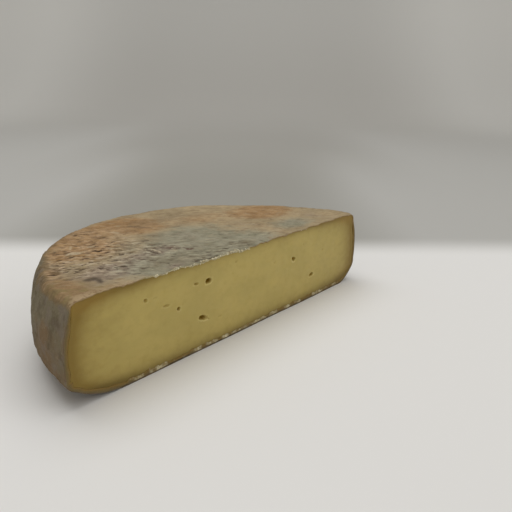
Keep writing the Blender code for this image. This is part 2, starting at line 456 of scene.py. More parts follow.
def crinkles(point):
    """The marks of single straws: narrow ridges and pits that run the same way, as (ridge, pit, grain)."""
    along = point.x * math.cos(CRINKLE_ANGLE) + point.y * math.sin(CRINKLE_ANGLE)
    across = point.y * math.cos(CRINKLE_ANGLE) - point.x * math.sin(CRINKLE_ANGLE)
    bend = 1.8 * noise.noise(Vector((along / 18, across / 18, 4.0)))
    broad = noise.noise(Vector((along / CRINKLE_LENGTH, (across + bend) / CRINKLE_WIDTH, point.z / 4)))
    narrow = noise.noise(Vector((along / 2.6, (across + bend) / 1.2, point.z / 3 + 9)))
    ridge = broad + 0.5 * narrow
    pit = max(0.0, -ridge - PIT_START)
    grain = noise.noise(point / GRAIN_SIZE + Vector((2.2, 5.1, 8.4)))
    return ridge, pit, grain


def lip_drop(point):
    """How far the torn upper edge of the cut hangs below the top."""
    reach = (point.y - CUT) / LIP_REACH
    if reach > 4:
        return 0.0
    edge = Vector((point.x, CUT, HEIGHT))
    wanted = float(np.interp(point.x, LIP_PLACES, LIP_HEIGHTS)) + TOP_RIM
    tear = LIP_TEAR * noise.noise(Vector((point.x / 1.7, point.y / 3, 1.7)))
    return (HEIGHT + slow_relief(edge) - wanted + tear) * math.exp(-reach * reach)


def skin(bm, columns, rows, rings, cut):
    """The outside of the half wheel, open at the cut: a top grid, side rings and a coarser underside.

    The vertex layer "turn" says how far round the side a vertex lies.
    """
    turn = bm.verts.layers.float.new("turn")
    radii, heights = spaced_points(PROFILE, rings + 1)
    top = half_disc(bm, columns, rows, radii[0], heights[0], cut, turn)
    ring = [edge for edge in bm.edges if edge.is_boundary and not on_cut(edge, cut)]
    for radius, height in zip(radii[1:], heights[1:]):
        made = bmesh.ops.extrude_edge_only(bm, edges=ring)["geom"]
        ring = [part for part in made if isinstance(part, bmesh.types.BMEdge)]
        for vert in [part for part in made if isinstance(part, bmesh.types.BMVert)]:
            vert.co = ring_point(vert[turn], radius, height, cut)
            if vert[turn] in (0.0, 1.0):
                vert.co.y = cut
    lowest = {vert for edge in ring for vert in edge.verts}
    chain = sorted(lowest, key=lambda vert: vert[turn])
    bmesh.ops.weld_verts(bm, targetmap={chain[k]: chain[k - 1] for k in range(1, len(chain) - 1, 2)})
    under = half_disc(bm, columns // 2, rows // 2, radii[-1], heights[-1], cut, turn)
    rim = [vert for vert in under if vert.is_boundary]
    bmesh.ops.remove_doubles(bm, verts=rim + [vert for vert in chain if vert.is_valid], dist=0.01)
    bmesh.ops.recalc_face_normals(bm, faces=bm.faces)
    highest = max(bm.faces, key=lambda face: face.calc_center_median().z)
    if highest.normal.z < 0:
        bmesh.ops.reverse_faces(bm, faces=bm.faces)
    bm.normal_update()


def on_cut(edge, cut):
    return all(abs(vert.co.y - cut) < 0.001 for vert in edge.verts)


def half_disc(bm, columns, rows, radius, height, cut, turn):
    """A flat grid with even cells in the shape of the half wheel's plan, and returns its vertices."""
    made = bmesh.ops.create_grid(bm, x_segments=columns, y_segments=rows, size=1)["verts"]
    middle = Vector((0, cut, height))
    for vert in made:
        u, v = vert.co.x, (vert.co.y + 1) / 2
        x, y = u * math.sqrt(1 - v * v / 2), v * math.sqrt(1 - u * u / 2)
        vert[turn] = round(math.atan2(y, x) / math.pi, 6)
        vert.co = middle.lerp(ring_point(vert[turn], radius, height, cut), min(1.0, math.hypot(x, y)))
        if v < 1e-6:
            vert.co.y = cut
    return made


def in_plane_normal(vert):
    """The vertex's outward direction, kept within the cut where the vertex lies on it."""
    outward = vert.normal.copy()
    if vert.is_boundary:
        outward.y = 0
        outward.normalize()
    return outward


def boundary_loop(bm):
    """The vertices round the open cut, in order."""
    edges = {edge for edge in bm.edges if edge.is_boundary}
    first = next(iter(edges)).verts[0]
    loop, here, used = [first], first, set()
    while True:
        onward = [edge for edge in here.link_edges if edge in edges and edge not in used]
        if not onward:
            break
        used.add(onward[0])
        here = onward[0].other_vert(here)
        if here is first:
            break
        loop.append(here)
    return loop


def inward_directions(loop, span=4):
    """For each vertex of the loop, the way towards the middle of the cut, at right angles to the outline."""
    places = np.array([(vert.co.x, vert.co.z) for vert in loop])
    ahead = np.roll(places, -span, axis=0) - np.roll(places, span, axis=0)
    area = np.sum(places[:, 0] * np.roll(places[:, 1], -1) - np.roll(places[:, 0], -1) * places[:, 1])
    sign = 1 if area > 0 else -1
    normals = np.stack([-ahead[:, 1], ahead[:, 0]], axis=1) * sign
    normals /= np.linalg.norm(normals, axis=1)[:, None]
    return [Vector((x, 0, z)) for x, z in normals]


def extrude_loop(bm, loop):
    """Extrudes a closed loop of vertices in place and returns the new loop in the same order."""
    edges = []
    for here, onward in zip(loop, loop[1:] + loop[:1]):
        edges.append(bm.edges.get((here, onward)))
    made = bmesh.ops.extrude_edge_only(bm, edges=edges)["geom"]
    fresh = {part for part in made if isinstance(part, bmesh.types.BMVert)}
    return [next(edge.other_vert(vert) for edge in vert.link_edges if edge.other_vert(vert) in fresh) for vert in loop]


def finish_mesh(bm, name, material):
    """Makes a finished piece of the bmesh: in the frame's metres, closed, with its faces outward."""
    lowest, highest = cad_box
    for vert in bm.verts:
        spot = place(vert.co)
        vert.co = [min(max(value, low), high) for value, low, high in zip(spot, lowest, highest)]
    mesh = bpy.data.meshes.new(name)
    bm.to_mesh(mesh)
    bm.free()
    mesh.shade_smooth()
    piece = bpy.data.objects.new(name, mesh)
    bpy.context.scene.collection.objects.link(piece)
    piece.data.materials.append(material)
    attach(piece, "root")
    return piece


def flank_share(point):
    """0 on the top, 0.3 where the rim turns, more round 148 degrees as painted shade, and 1 down the side, whose colour
    starts lower towards the back.
    """
    turn = math.degrees(math.atan2(point.y, point.x))
    over_rim = smooth_step(96.6, 99.0, math.hypot(point.x, point.y)) * (1 - 0.6 * smooth_step(158, 170, turn))
    # Painted shade: the rim's turn darkens more round 148 degrees, where the shoulder turns away from the light.
    over_rim *= 1 + 1.6 * math.exp(-((turn - 148) / 9) ** 2)
    border = 38 + 3.5 * smooth_step(150, 174, turn)
    down = 1 - smooth_step(border - 1.5, border + 1.5, point.z)
    return min(1.0, 0.3 * over_rim * (1 - down) + down)


RIND_MASKS = ("pit", "ridge", "rough", "calm", "grey", "orange", "purple", "dark", "slit", "crack", "blot", "bright",
              "brim", "flank")


def shape_rind(bm):
    """Gives the fine skin its relief, and writes what the material reads beside it."""
    layers = {name: bm.verts.layers.float.new(name) for name in RIND_MASKS}
    shifts = []
    for vert in bm.verts:
        point = vert.co
        level = smooth_step(0.35, 0.85, vert.normal.z)
        ridge, pit, grain = crinkles(point)
        calm = patch_sum(CALM_PATCHES, point.x, point.y)
        rough = (0.3 + 0.7 * patch_sum(ROUGH_PATCHES, point.x, point.y)) * (1 - 0.8 * calm)
        wander = point + 0.6 * noise.noise_vector(point / 2.2)
        slit = level * stroke_share(SLITS, wander.x, wander.y)
        crack = level * stroke_share(CRACKS, wander.x, wander.y)
        bright = level * stroke_share(PALE_RIDGES, wander.x, wander.y)
        top_relief = rough * (CRINKLE_DEPTH * (ridge - 0.25) - PIT_DEPTH * pit)
        top_relief += 0.35 * bright - SLIT_DEPTH * max(slit, crack)
        flank_relief = FLANK_DEPTH * noise.noise(point / 4.2)
        fade = smooth_step(0, FLAT_BAND, point.z)
        fine = level * top_relief + (1 - level) * fade * flank_relief + fade * GRAIN_DEPTH * grain
        outward = in_plane_normal(vert)
        shifts.append(outward * (slow_relief(point) + fine) - Vector((0, 0, level * lip_drop(point))))
        # The pit mask darkens the colour too: painted shade in the pits.
        vert[layers["pit"]] = min(1.0, level * rough * pit * 3.2)
        vert[layers["ridge"]] = 0.5 + 0.6 * ridge * rough
        vert[layers["rough"]] = rough
        vert[layers["calm"]] = calm
        vert[layers["grey"]] = patch_sum(GREY_PATCHES, point.x, point.y)
        vert[layers["orange"]] = patch_sum(ORANGE_PATCHES, point.x, point.y)
        vert[layers["purple"]] = patch_sum(PURPLE_PATCHES, point.x, point.y)
        vert[layers["dark"]] = patch_sum(DARK_PATCHES, point.x, point.y)
        vert[layers["slit"]] = slit
        vert[layers["crack"]] = crack
        vert[layers["blot"]] = level * stroke_share(BLOTS, wander.x, wander.y)
        vert[layers["bright"]] = bright
        vert[layers["brim"]] = math.exp(-(point.y - CUT) / 3.2) * (1 - smooth_step(-78, -58, point.x))
        vert[layers["flank"]] = flank_share(point)
    for vert, shift in zip(bm.verts, shifts):
        vert.co += shift
        vert.co.z = min(HIGHEST, max(0.0, vert.co.z))


def rim_width(height):
    """How wide the rind's torn rim is at a height of the cut's outline."""
    upper, lower = smooth_step(38, 43, height), 1 - smooth_step(1.5, 7, height)
    return SIDE_RIM + (TOP_RIM - SIDE_RIM) * upper + (BASE_RIM - SIDE_RIM) * lower


def chalkiness(point):
    """How white the torn rim is: in clusters along the upper lip and in patches at the base."""
    upper = smooth_step(36, 42, point.z) * smooth_step(-76, -58, point.x) * (1 - smooth_step(-6, 6, point.x))
    upper *= 0.75 + 0.25 * smooth_step(-0.3, 0.15, noise.noise(Vector((point.x / 3.4, 0.9, 5.1))))
    patches = 0.6 + 0.9 * noise.noise(Vector((point.x / 4, 0.3, 2.2)))
    lower = (1 - smooth_step(1, 6, point.z)) * smooth_step(-90, -70, point.x) * 0.5 * max(0.0, patches)
    return min(1.0, upper + lower)


def make_rind(material):
    """The shell: fine outside, a torn rim round the cut, and a plain inside that the paste hides."""
    bm = bmesh.new()
    torn, chalk, sole_and_contact_shadow = [bm.verts.layers.float.new(name) for name in ("torn", "chalk", "sole_and_contact_shadow")]
    skin(bm, TOP_COLUMNS, TOP_ROWS, SIDE_RINGS, CUT)
    shape_rind(bm)
    outer = boundary_loop(bm)
    for vert in outer:
        vert.co.y = CUT + knife_wave(vert.co.x, vert.co.z) + 0.05
    inward = inward_directions(outer)
    starts = [vert.co.copy() for vert in outer]
    loop = outer
    for share, back in RIM_STEPS:
        loop = extrude_loop(bm, loop)
        for vert, start, way in zip(loop, starts, inward):
            uneven = noise.noise(Vector((start.x / 3.2, start.z / 3.2, 3.3)))
            uneven += 0.7 * noise.noise(Vector((start.x / 1.4, start.z / 1.4, 8.1)))
            width = rim_width(start.z) * (1 + 0.45 * uneven)
            spot = start + way * share * width
            crumble = 0.25 * noise.noise(spot / 0.9) + 0.2 * noise.noise(spot / 2.1)
            vert.co = start + way * share * width
            vert.co.y = CUT + knife_wave(spot.x, spot.z) + back + crumble * (1 - share)
            vert[torn] = share
            vert[chalk] = chalkiness(start)
            # The lowest millimetre is coloured near-black: dark underside rind with painted contact shadow.
            vert[sole_and_contact_shadow] = 1 - smooth_step(0.5, 1.1, vert.co.z)
    for depth, back in UNDERCUT_STEPS:
        loop = extrude_loop(bm, loop)
        for vert, start, way in zip(loop, starts, inward):
            vert.co = start + way * max(depth, 0.4 * rim_width(start.z))
            vert.co.y = CUT + back
            vert[torn] = 1.0
    inner = bmesh.new()
    skin(inner, INNER_COLUMNS, INNER_ROWS, INNER_RINGS, CUT + SHELL_START)
    sink(inner, SHELL_DEPTH)
    bmesh.ops.reverse_faces(inner, faces=inner.faces)
    join(bm, inner)
    bridge_open_loops(bm)
    return finish_mesh(bm, "rind", material)


def sink(bm, depth):
    """Moves a plain skin inwards, with the solid's slow relief."""
    shifts = [in_plane_normal(vert) * (slow_relief(vert.co) - depth) for vert in bm.verts]
    for vert, shift in zip(bm.verts, shifts):
        vert.co += shift
        vert.co.z = max(depth, vert.co.z)


def join(bm, other):
    """Adds another bmesh to this one."""
    scrap = bpy.data.meshes.new("scrap")
    other.to_mesh(scrap)
    other.free()
    bm.from_mesh(scrap)
    bpy.data.meshes.remove(scrap)


def bridge_open_loops(bm):
    """Joins the two open loops that are left with a band of faces."""
    bmesh.ops.bridge_loops(bm, edges=[edge for edge in bm.edges if edge.is_boundary])


def eye_depth(x, z):
    """How deep the eyes are at a place on the cut, and how near it is to an eye's rim."""
    depth, rim = 0.0, 0.0
    for along, height, width, tall, deep, lean in EYES + FAINT_MARKS:
        dx, dz = x - along, z - height
        if abs(dx) > width * 1.4 or abs(dz) > width * 1.4:
            continue
        turn = math.radians(lean)
        across = (dx * math.cos(turn) + dz * math.sin(turn)) / (width / 2)
        up = (dz * math.cos(turn) - dx * math.sin(turn)) / (tall / 2)
        uneven = 1 + 0.3 * noise.noise(Vector((dx / 1.5, dz / 1.5, along)))
        reach = math.hypot(across, up) * uneven
        steep = 1.2 - 0.45 * min(1.0, max(-1.0, up))
        depth = max(depth, deep * max(0.0, 1 - reach ** 2) ** steep)
        # The rim counts most on an eye's lower side, where its colour is a painted highlight of light from above.
        below = 0.3 + 0.7 * smooth_step(0.3, 0.9, -up)
        rim = max(rim, math.exp(-((reach - 1.2) / 0.2) ** 2) * min(1.0, deep / 1.5) * below)
    return depth, rim


def half_length(height, depth):
    """How far the cut reaches to either side of the axis at a height, less a depth: (left, right)."""
    radius = float(np.interp(height, PROFILE_HEIGHTS, PROFILE_RADII))
    return [
        math.sqrt((ring_radius(radius, height, angle) - depth) ** 2 - CUT ** 2)
        for angle in (math.pi, 0.0)
    ]


def make_paste(material):
    """The paste: a fine cut face with its eyes, closed behind by a plain skin that the rind hides."""
    bm = bmesh.new()
    names = ("near", "golden", "eye_shade", "eye_rim_highlight")
    near, golden, eye_shade, eye_rim_highlight = [bm.verts.layers.float.new(name) for name in names]
    grid = bmesh.ops.create_grid(bm, x_segments=FACE_COLUMNS, y_segments=FACE_ROWS, size=1)["verts"]
    for vert in grid:
        u, v = vert.co.x, (vert.co.y + 1) / 2
        lowest, highest = BASE_RIM - RIM_COVER - 0.2, HEIGHT - TOP_RIM + RIM_COVER
        height = lowest + v * (highest - lowest)
        left, right = half_length(height, rim_width(height) - RIM_COVER)
        x = u * (right if u > 0 else left)
        edge = Vector((x, CUT, HEIGHT))
        vert.co = Vector((x, 0, height + v ** 3 * (slow_relief(edge) - lip_drop(edge))))
    for along, height, width, tall, deep, lean in EYES:
        close = [edge for edge in bm.edges if all(
            abs(vert.co.x - along) < width * 0.8 and abs(vert.co.z - height) < width * 0.8 for vert in edge.verts)]
        bmesh.ops.subdivide_edges(bm, edges=close, cuts=2, use_grid_fill=True)
    for vert in bm.verts:
        x, z = vert.co.x, vert.co.z
        left, right = half_length(min(HEIGHT - 0.1, max(0.1, z)), 0)
        depth, rim = eye_depth(x, z)
        drag = 0.06 * noise.noise(Vector(((x - 2.2 * z) / 14, (z + 0.4 * x) / 1.5, 2)))
        swell = 0.12 * noise.noise(Vector((x / 5, z / 5, 7)))
        side = max(0.0, min(left + x, right - x))
        clear = smooth_step(2.0, 5.0, min(side, z))
        back = FLUSH_BACK + (RIM_BACK - FLUSH_BACK) * clear + (drag + swell) * clear
        vert.co.y = CUT + back + knife_wave(x, z) + depth - 0.2 * rim
        # Darker towards the rind and the base: the paste's own browning next to the rind, with painted shade under the
        # torn upper lip and in from the ends.
        under_rind = math.exp(-(HEIGHT - z) / 2.9) * (0.9 + 0.4 * smooth_step(50, 70, abs(x)))
        from_side = 1.2 * math.exp(-side / 4.4) + 0.65 * math.exp(-side / 16)
        vert[near] = min(1.35, under_rind + 1.25 * math.exp(-z / 3.7) + from_side)
        vert[golden] = smooth_step(36, 42, z) * smooth_step(78, 90, abs(x))
        # How deep in an eye a place lies, which sets the painted shade inside the eyes.
        vert[eye_shade] = min(1.0, depth / 1.4)
        vert[eye_rim_highlight] = rim
    bmesh.ops.recalc_face_normals(bm, faces=bm.faces)
    if sum(face.normal.y for face in bm.faces) > 0:
        bmesh.ops.reverse_faces(bm, faces=bm.faces)
    behind = bmesh.new()
    skin(behind, INNER_COLUMNS, INNER_ROWS, INNER_RINGS, CUT + SHELL_START)
    sink(behind, PASTE_DEPTH)
    join(bm, behind)
    bridge_open_loops(bm)
    return finish_mesh(bm, "paste", material)


def make_crumbs(material):
    """Grains of paste and rind along the upper edge of the cut, thickest where the knife dragged."""
    chance = random.Random(11)
    bm = bmesh.new()
    for k in range(900):
        x = chance.uniform(-90, 50)
        thick = smooth_step(-66, -56, x) * (1 - smooth_step(-6, 4, x))
        clusters = smooth_step(-0.5, 0.2, noise.noise(Vector((x / 3.1, 4.4, 0.7))))
        if chance.random() > thick * clusters + 0.03 * smooth_step(-60, -50, x):
            continue
        y = CUT + abs(chance.gauss(0.0, 0.3)) + 0.05
        size = 0.12 + 0.5 * chance.random() ** 2.2
        base = Vector((x, y, HEIGHT))
        z = HEIGHT + slow_relief(base) - lip_drop(base) - 0.3 + chance.uniform(-0.45, 0.15)
        z = min(z, HIGHEST - size)
        turn = Matrix.Rotation(chance.uniform(0, math.pi), 4, Vector((chance.random(), chance.random(), 0.5)))
        shape = Matrix.Diagonal((size * chance.uniform(0.8, 1.7), size, size * chance.uniform(0.55, 0.9), 1))
        made = bmesh.ops.create_icosphere(
            bm, subdivisions=2, radius=1, matrix=Matrix.Translation((x, y, z)) @ turn @ shape)["verts"]
        for vert in made:
            vert.co += noise.noise_vector(vert.co / 0.5) * size * 0.5
            vert.co.y = max(vert.co.y, CUT - 0.12)
            vert.co.z = min(vert.co.z, HIGHEST)
    bmesh.ops.recalc_face_normals(bm, faces=bm.faces)
    return finish_mesh(bm, "crumbs", material)


def tint(red, green, blue):
    """A colour given as it looks on a screen, from 0 to 255, as the shader takes it."""
    linear = [((part / 255 + 0.055) / 1.055) ** 2.4 if part > 10 else part / 255 / 12.92 for part in (red, green, blue)]
    return (*linear, 1.0)


class Recipe:
    """A material's node tree, with short ways to add the few kinds of node that the finishes use."""

    def __init__(self, name):
        self.material = bpy.data.materials.new(name)
        self.material.use_nodes = True
        self.tree = self.material.node_tree
        self.shader = self.tree.nodes["Principled BSDF"]
        self.place = self.tree.nodes.new("ShaderNodeTexCoord").outputs["Object"]

    def feed(self, socket, value):
        if isinstance(value, bpy.types.NodeSocket):
            self.tree.links.new(value, socket)
        else:
            socket.default_value = value

    def attribute(self, name):
        node = self.tree.nodes.new("ShaderNodeAttribute")
        node.attribute_name = name
        return node.outputs["Fac"]

    def grain(self, sizes, detail=3.0, roughness=0.55, turn=0.0, seed=0.0, warp=0.0):
        """Noise from 0 to 1 whose lumps have these sizes in mm along X, Y and Z, turned about Z."""
        mapping = self.tree.nodes.new("ShaderNodeMapping")
        mapping.vector_type = "TEXTURE"
        mapping.inputs["Location"].default_value = (seed, seed * 0.7, seed * 0.3)
        mapping.inputs["Rotation"].default_value = (0, 0, turn)
        mapping.inputs["Scale"].default_value = [size * MM for size in sizes]
        self.tree.links.new(self.place, mapping.inputs["Vector"])
        texture = self.tree.nodes.new("ShaderNodeTexNoise")
        texture.inputs["Scale"].default_value = 1.0
        texture.inputs["Detail"].default_value = detail
        texture.inputs["Roughness"].default_value = roughness
        texture.inputs["Distortion"].default_value = warp
        self.tree.links.new(mapping.outputs["Vector"], texture.inputs["Vector"])
        return texture.outputs["Fac"]

    def sum(self, *terms):
        """Adds pairs of a value and how much it counts."""
        total = None
        for value, weight in terms:
            node = self.tree.nodes.new("ShaderNodeMath")
            node.operation = "MULTIPLY_ADD"
            self.feed(node.inputs[0], value)
            node.inputs[1].default_value = weight
            self.feed(node.inputs[2], 0.0 if total is None else total)
            total = node.outputs[0]
        return total

    def step(self, value, low, high):
        """0 under low and 1 over high, with a soft change between them."""
        node = self.tree.nodes.new("ShaderNodeMapRange")
        node.interpolation_type = "SMOOTHSTEP"
        self.feed(node.inputs["Value"], value)
        node.inputs["From Min"].default_value = low
        node.inputs["From Max"].default_value = high
        return node.outputs["Result"]

    def times(self, first, second):
        node = self.tree.nodes.new("ShaderNodeMath")
        node.operation = "MULTIPLY"
        self.feed(node.inputs[0], first)
        self.feed(node.inputs[1], second)
        return node.outputs[0]

    def distance_along(self, way):
        node = self.tree.nodes.new("ShaderNodeVectorMath")
        node.operation = "DOT_PRODUCT"
        self.feed(node.inputs[0], self.place)
        node.inputs[1].default_value = way
        return node.outputs["Value"]

    def lines(self, value, width):
        """Thin lines where a noise passes through its middle: 1 on them and 0 away from them."""
        node = self.tree.nodes.new("ShaderNodeMath")
        node.operation = "ABSOLUTE"
        self.feed(node.inputs[0], self.sum((value, 1.0), (0.5, -1.0)))
        return self.step(node.outputs[0], width, 0.0)

    def mix(self, share, first, second):
        node = self.tree.nodes.new("ShaderNodeMix")
        node.data_type = "RGBA"
        self.feed(node.inputs["Factor"], share)
        self.feed(node.inputs[6], first)
        self.feed(node.inputs[7], second)
        return node.outputs[2]

    def bump(self, height, distance, strength=1.0):
        node = self.tree.nodes.new("ShaderNodeBump")
        node.inputs["Strength"].default_value = strength
        node.inputs["Distance"].default_value = distance * MM
        self.feed(node.inputs["Height"], height)
        self.feed(self.shader.inputs["Normal"], node.outputs["Normal"])


def rind_finish():
    """Dry, wrinkled natural rind: orange-brown and tan on top under grey mould, darker down the side."""
    rind = Recipe("rind")
    broad = rind.grain((26, 26, 26), detail=4)
    patchy = rind.grain((8, 8, 8), detail=5, roughness=0.6, seed=0.11)
    straws = rind.grain((6.5, 3.2, 4), detail=4, roughness=0.6, turn=STRAW_ANGLE, seed=0.05)
    slits = rind.grain((4.1, 1.4, 2.4), detail=2.5, roughness=0.6, turn=CRINKLE_ANGLE, seed=0.2, warp=0.25)
    flecks = rind.grain((4.6, 1.5, 2), detail=2.5, roughness=0.6, turn=CRINKLE_ANGLE, seed=0.31, warp=0.2)
    broken = rind.grain((5, 4, 4), detail=2, seed=0.41)
    creases = rind.lines(rind.grain((12, 4.4, 5), detail=1.5, turn=CRINKLE_ANGLE, seed=0.17, warp=0.3), 0.1)
    gaps = rind.lines(rind.grain((10, 4.0, 5), detail=1.5, turn=CRINKLE_ANGLE, seed=0.27, warp=0.3), 0.075)
    gaps = rind.times(gaps, rind.step(broken, 0.45, 0.6))
    mottle = rind.grain((6, 6, 6), detail=4, roughness=0.55, seed=0.53)
    spots = rind.grain((1.8, 1.8, 1.8), detail=3, roughness=0.55, seed=0.61)
    rough = rind.step(rind.sum((rind.attribute("rough"), 1.0), (patchy, 0.7)), 0.65, 1.25)
    fine = rind.grain((0.9, 0.9, 0.9), detail=4, roughness=0.65, seed=0.02)

    streaky = rind.sum((1.0, 1.0), (rind.attribute("calm"), -0.8))
    tan = rind.mix(rind.step(broad, 0.35, 0.65), tint(178, 157, 122), tint(158, 140, 108))
    orange = rind.mix(rind.step(patchy, 0.3, 0.65), tint(180, 147, 106), tint(151, 118, 78))
    warm_share = rind.step(rind.sum((rind.attribute("orange"), 1.0), (patchy, 0.9), (straws, 0.5)), 0.85, 1.35)
    warm = rind.mix(warm_share, tan, orange)
    warm = rind.mix(rind.times(rind.attribute("calm"), 0.5), warm, tint(150, 122, 84))
    warm = rind.mix(rind.times(rind.times(rind.attribute("calm"), rind.step(mottle, 0.48, 0.62)), 0.7), warm,
                    tint(150, 133, 80))
    grey = rind.mix(rind.step(patchy, 0.4, 0.62), tint(154, 149, 128), tint(137, 133, 111))
    grey_share = rind.step(rind.sum((rind.attribute("grey"), 1.0), (patchy, 0.9), (straws, 0.6)), 0.8, 1.5)
    top = rind.mix(grey_share, warm, grey)
    purple_share = rind.step(rind.sum((rind.attribute("purple"), 1.0), (patchy, 0.8), (straws, 0.7)), 0.85, 1.6)
    top = rind.mix(rind.times(purple_share, 0.8), top, tint(145, 128, 114))
    dark_share = rind.step(rind.sum((rind.attribute("dark"), 1.0), (patchy, 0.6)), 0.3, 1.3)
    top = rind.mix(rind.times(dark_share, 0.4), top, tint(112, 97, 74))
    top = rind.mix(rind.times(rind.times(rind.step(straws, 0.5, 0.72), streaky), 0.35), top, tint(178, 162, 132))
    top = rind.mix(rind.times(rind.times(rind.step(straws, 0.5, 0.3), streaky), 0.4), top, tint(108, 88, 64))
    # Pale flecks, paler on the ridges: partly pale mould, partly painted highlight on the raised parts.
    pale = rind.step(rind.sum((flecks, 1.0), (rind.attribute("ridge"), 0.35)), 0.66, 0.92)
    light = rind.mix(warm_share, tint(202, 184, 158), tint(206, 174, 140))
    light = rind.mix(grey_share, light, tint(190, 183, 158))
    top = rind.mix(rind.times(pale, rind.sum((rough, 0.8), (0.2, 1.0))), top, light)
    # Light creases and dark gaps along the wrinkles: partly the rind's own streaks, partly painted highlight on the
    # raised creases and painted shade in the gaps.
    top = rind.mix(rind.times(rind.times(creases, rough), 0.25), top, light)
    top = rind.mix(rind.times(rind.times(gaps, rough), 0.4), top, tint(88, 70, 50))
    # Dark slits of the grain, darker still in the troughs between ridges: partly dark rind, partly painted shade.
    dark = rind.step(rind.sum((slits, -1.0), (rind.attribute("ridge"), -0.3)), -0.6, -0.4)
    top = rind.mix(rind.times(dark, rind.sum((rough, 0.85), (0.2, 1.0))), top, tint(80, 63, 48))
    top = rind.mix(rind.times(rind.step(fine, 0.55, 0.75), 0.2), top, tint(104, 86, 64))
    brim = rind.step(rind.sum((rind.attribute("brim"), 1.0), (straws, 0.8)), 0.6, 1.3)
    top = rind.mix(rind.times(brim, 0.6), top, tint(182, 158, 126))
    stained = rind.times(rind.sum((rind.attribute("brim"), 0.8), (rind.attribute("calm"), 0.5)), rind.step(spots, 0.5, 0.62))
    top = rind.mix(rind.times(stained, 0.6), top, tint(124, 98, 66))
    # Painted shade in the pits of the relief.
    top = rind.mix(rind.times(rind.step(rind.attribute("pit"), 0.05, 1.1), 0.55), top, tint(80, 63, 48))
    # Partly pale rind, partly painted highlight on the raised pale ridges.
    bright = rind.step(rind.sum((rind.attribute("bright"), 1.0), (fine, 0.3)), 0.35, 0.95)
    top = rind.mix(rind.times(bright, 0.6), top, tint(206, 190, 160))
    # Dark rind with painted shade in the slits; the cracks' dark red is partly their own colour, partly painted shade.
    slit = rind.step(rind.sum((rind.attribute("slit"), 1.0), (fine, 0.35)), 0.35, 0.95)
    top = rind.mix(rind.times(slit, 0.8), top, tint(76, 61, 47))
    crack = rind.step(rind.sum((rind.attribute("crack"), 1.0), (fine, 0.35)), 0.3, 0.85)
    top = rind.mix(rind.times(crack, 0.85), top, tint(94, 64, 56))
    blot = rind.step(rind.sum((rind.attribute("blot"), 1.0), (spots, -0.4)), -0.15, 0.8)
    top = rind.mix(rind.times(blot, 0.9), top, tint(80, 68, 56))

    side = rind.mix(rind.step(broad, 0.4, 0.6), tint(123, 113, 90), tint(126, 104, 76))
    side = rind.mix(rind.times(rind.step(mottle, 0.48, 0.62), 0.6), side, tint(128, 116, 102))
    side = rind.mix(rind.times(rind.step(spots, 0.54, 0.7), 0.35), side, tint(148, 138, 112))
    side = rind.mix(rind.times(rind.step(patchy, 0.5, 0.36), 0.5), side, tint(88, 74, 52))
    side = rind.mix(rind.times(rind.step(fine, 0.56, 0.74), 0.3), side, tint(70, 59, 46))
    edge = rind.sum((rind.attribute("flank"), 1.0), (mottle, 0.9), (spots, 0.3))
    # The darker border where the rim turns down, with painted shade round the back-left shoulder.
    border = rind.mix(rind.step(patchy, 0.42, 0.62), tint(108, 91, 64), tint(134, 115, 82))
    top = rind.mix(rind.times(rind.step(edge, 0.6, 1.05), 0.75), top, border)
    skin_colour = rind.mix(rind.step(edge, 0.92, 1.4), top, side)

    torn_colour = rind.mix(rind.attribute("flank"), tint(172, 147, 110), tint(119, 104, 70))
    crust = rind.mix(rind.step(rind.sum((rind.attribute("torn"), 1.0), (fine, 0.5)), 0.45, 1.4),
                     torn_colour, tint(144, 116, 60))
    chalk = rind.mix(rind.step(fine, 0.38, 0.62), tint(222, 214, 180), tint(180, 164, 120))
    crust = rind.mix(rind.step(rind.sum((rind.attribute("chalk"), 1.0), (flecks, 0.6)), 0.5, 0.9), crust, chalk)
    # Dark rind and painted contact shadow along the very bottom.
    crust = rind.mix(rind.step(rind.sum((rind.attribute("sole_and_contact_shadow"), 1.0), (fine, 0.4)), 0.5, 1.0), crust, tint(70, 58, 42))
    colour = rind.mix(rind.step(rind.attribute("torn"), 0.05, 0.35), skin_colour, crust)
    rind.feed(rind.shader.inputs["Base Color"], colour)
    rind.shader.inputs["Roughness"].default_value = 0.82
    rind.shader.inputs["Specular IOR Level"].default_value = 0.18
    streaks = rind.sum((slits, 1.0), (flecks, 0.6), (rind.times(creases, rough), 0.35), (rind.times(gaps, rough), -0.5))
    rind.bump(rind.sum((fine, 0.5), (rind.times(streaks, streaky), 1.0)), 0.9)
    return rind.material


